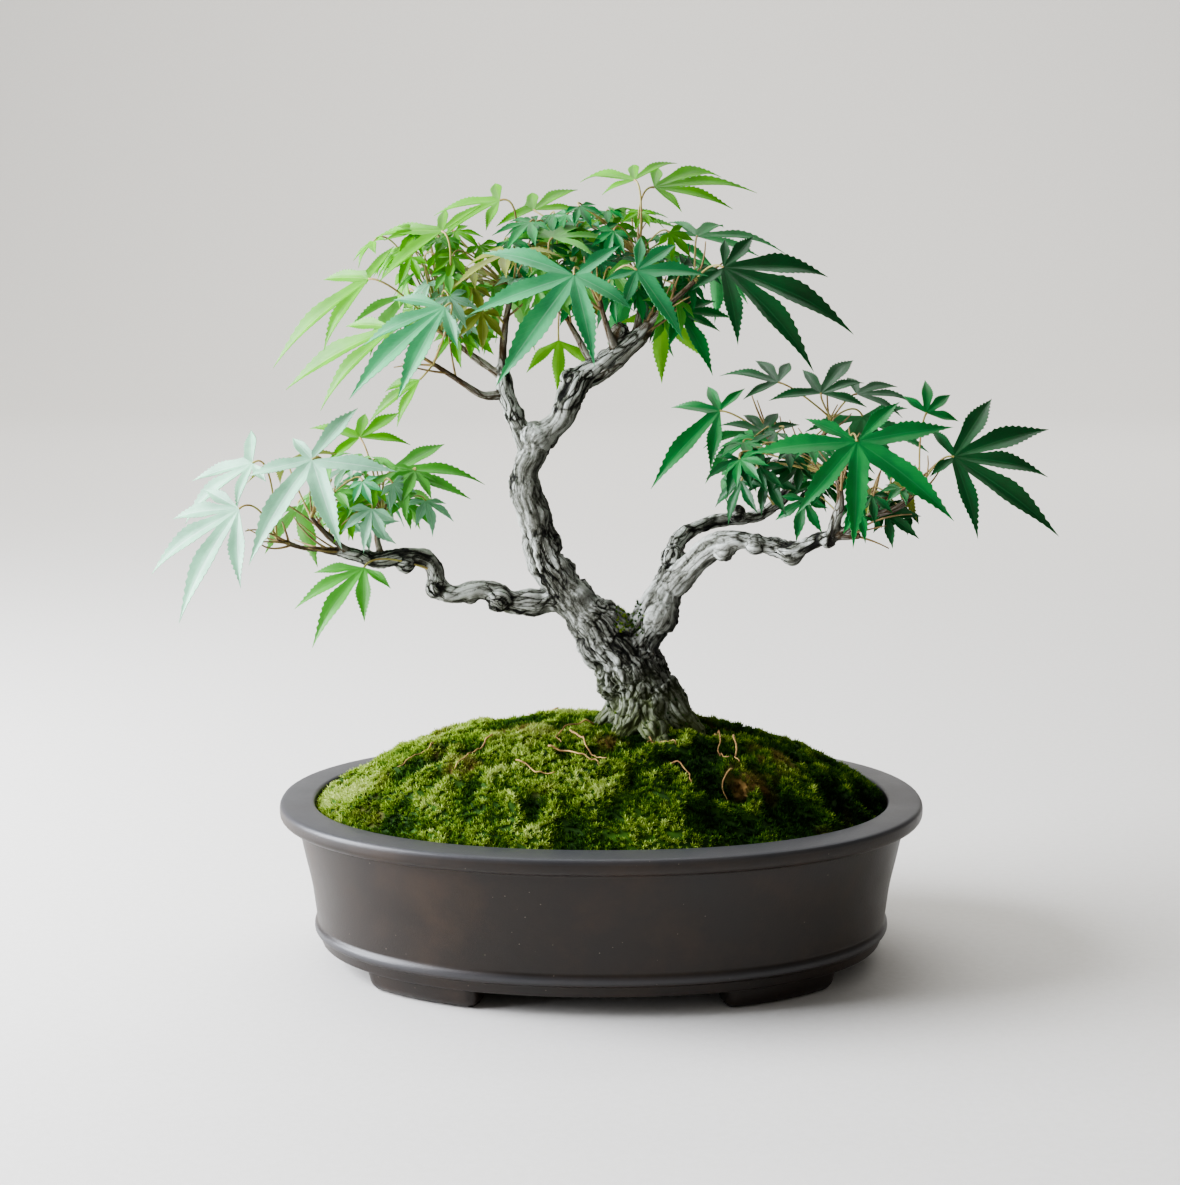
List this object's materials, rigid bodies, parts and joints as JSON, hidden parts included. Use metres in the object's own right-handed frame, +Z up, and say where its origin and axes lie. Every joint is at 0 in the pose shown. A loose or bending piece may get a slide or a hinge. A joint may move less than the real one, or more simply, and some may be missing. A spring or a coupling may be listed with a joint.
{
  "type": "bonsai tree in a pot",
  "caption": "Japanese maple bonsai with a forked silver-grey trunk and three leafy heads, growing from a moss mound in an oval brown stoneware pot on low feet",
  "frame": {"origin": "on the surface that the pot stands on, under the middle of the oval pot", "axes": "+X along the pot's long side to the right, +Y to the back, +Z up; the front is -Y"},
  "size_m": [0.4089, 0.226, 0.3709],
  "materials": {
    "stoneware": "unglazed fired stoneware, dark brown, satin on the rim and rib",
    "bark": "silver-grey fissured bark",
    "leaf": "thin green leaf, satin, light shows through",
    "moss": "living moss, soft and matt",
    "soil": "dark potting soil, damp and crumbly",
    "grit": "pale clay grit",
    "drainage_mesh": "black moulded plastic mesh",
    "wire": "copper-brown anodised aluminium wire",
    "root": "thin dry surface root"
  },
  "bodies": {
    "root": {"pot": "stoneware", "drainage_mesh_left": "drainage_mesh", "drainage_mesh_right": "drainage_mesh", "mesh_wire_left": "wire", "mesh_wire_right": "wire", "grit_layer": "grit", "soil": "soil", "moss": "moss", "trunk_and_branches": "bark", "surface_root_front": "root", "surface_root_front_left": "root", "surface_root_front_right": "root", "surface_root_left": "root", "leaf_crown_01": "leaf", "leaf_crown_02": "leaf", "leaf_crown_03": "leaf", "leaf_crown_04": "leaf", "leaf_crown_05": "leaf", "leaf_crown_06": "leaf", "leaf_far_left_01": "leaf", "leaf_far_left_02": "leaf", "leaf_far_left_03": "leaf", "leaf_far_left_04": "leaf", "leaf_far_left_05": "leaf", "leaf_far_left_06": "leaf", "leaf_left_01": "leaf", "leaf_left_02": "leaf", "leaf_left_03": "leaf", "leaf_left_04": "leaf", "leaf_left_05": "leaf", "leaf_left_06": "leaf", "leaf_left_07": "leaf", "leaf_left_08": "leaf", "leaf_left_09": "leaf", "leaf_right_01": "leaf", "leaf_right_02": "leaf", "leaf_right_03": "leaf", "leaf_right_04": "leaf", "leaf_right_05": "leaf", "leaf_right_06": "leaf", "leaf_right_07": "leaf", "leaf_right_08": "leaf", "leaf_right_09": "leaf", "leaf_right_10": "leaf", "leaf_right_11": "leaf", "leaf_top_01": "leaf", "leaf_top_02": "leaf", "leaf_top_03": "leaf", "leaf_top_04": "leaf", "leaf_top_05": "leaf", "leaf_top_06": "leaf", "leaf_top_07": "leaf", "leaf_top_08": "leaf", "leaf_top_09": "leaf", "leaf_top_10": "leaf", "leaf_top_11": "leaf", "leaf_top_12": "leaf"}
  },
  "joints": []
}
